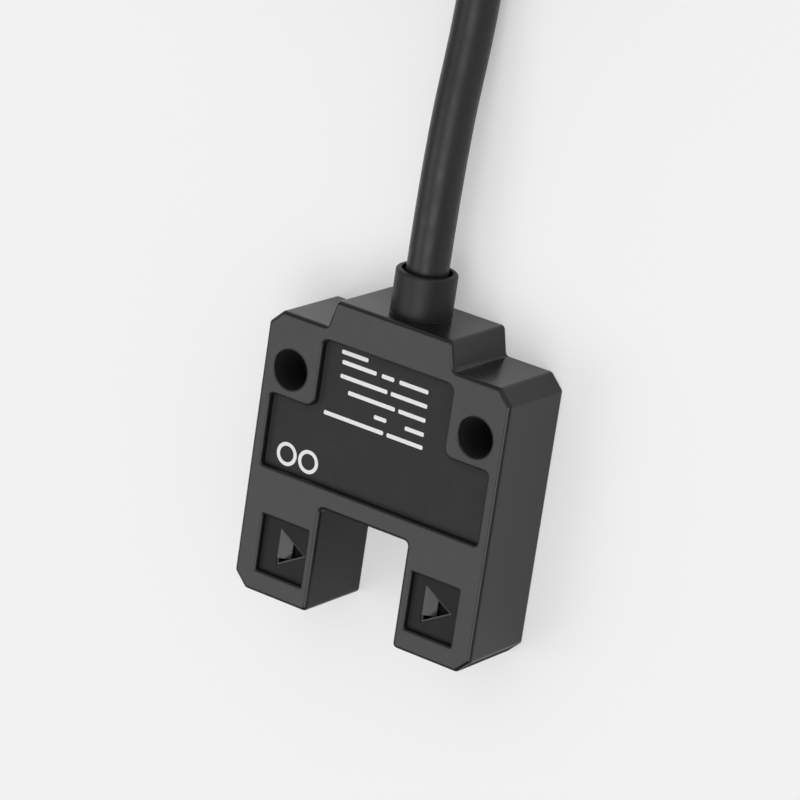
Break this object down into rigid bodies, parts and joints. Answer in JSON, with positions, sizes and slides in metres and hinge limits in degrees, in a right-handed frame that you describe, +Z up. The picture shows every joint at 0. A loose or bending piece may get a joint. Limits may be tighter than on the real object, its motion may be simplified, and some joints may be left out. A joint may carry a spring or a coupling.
{
  "type": "fork sensor",
  "caption": "Small photoelectric fork sensor: black moulded fork housing with a beam slot, fixing holes in its ears, label recess and a fixed lead with bare cores.",
  "frame": {"origin": "middle of the sensor's footprint on its back face, its lead left out", "axes": "+X across the fork, from the emitter's prong to the receiver's; +Y from the prongs towards the lead; +Z up out of the front face, the back face lies at Z 0"},
  "size_m": [0.0402, 0.1334, 0.0171],
  "materials": {
    "housing_plastic": "moulded, semi-gloss black",
    "board_laminate": "green solder resist over glass laminate",
    "emitter_resin": "tinted resin",
    "receiver_resin": "dark resin that passes infrared",
    "tinned_metal": "tinned",
    "holder_plastic": "moulded, matt",
    "chip_moulding": "moulded, matt",
    "capacitor_resin": "moulded resin",
    "resistor_ceramic": "glazed chip with tinned ends",
    "capacitor_ceramic": "fired chip with tinned ends",
    "cable_jacket": "soft jacket, satin",
    "ferrule_brass": "crimped ring",
    "seal_rubber": "matt",
    "core_brown": "core insulation",
    "core_blue": "core insulation",
    "core_black": "core insulation",
    "core_white": "core insulation",
    "solder": "solder, satin",
    "tie_plastic": "thin strip, satin"
  },
  "bodies": {
    "root": {"housing": "housing_plastic", "rear_cover": "housing_plastic", "main_board": "board_laminate", "emitter": "emitter_resin", "receiver": "receiver_resin", "emitter_leads": "tinned_metal", "receiver_leads": "tinned_metal", "emitter_holder": "holder_plastic", "receiver_holder": "holder_plastic", "amplifier_ic": "chip_moulding", "ic_leads": "tinned_metal", "output_transistor_no": "chip_moulding", "output_transistor_nc": "chip_moulding", "voltage_regulator": "chip_moulding", "reverse_diode": "chip_moulding", "surge_diode": "chip_moulding", "supply_capacitor": "capacitor_resin", "chip_resistors": "resistor_ceramic", "chip_capacitors": "capacitor_ceramic", "cable_inner": "cable_jacket", "cable_ferrule": "ferrule_brass", "cable_seal": "seal_rubber", "wire_brown": "core_brown", "wire_blue": "core_blue", "wire_black": "core_black", "wire_white": "core_white", "solder_joints": "solder", "cable_jacket": "cable_jacket", "cable_hank": "cable_jacket", "cable_tail": "cable_jacket", "hank_tie_right": "tie_plastic", "hank_tie_left": "tie_plastic", "core_brown": "core_brown", "core_blue": "core_blue", "core_black": "core_black", "core_white": "core_white", "core_tips": "tinned_metal"}
  },
  "joints": []
}
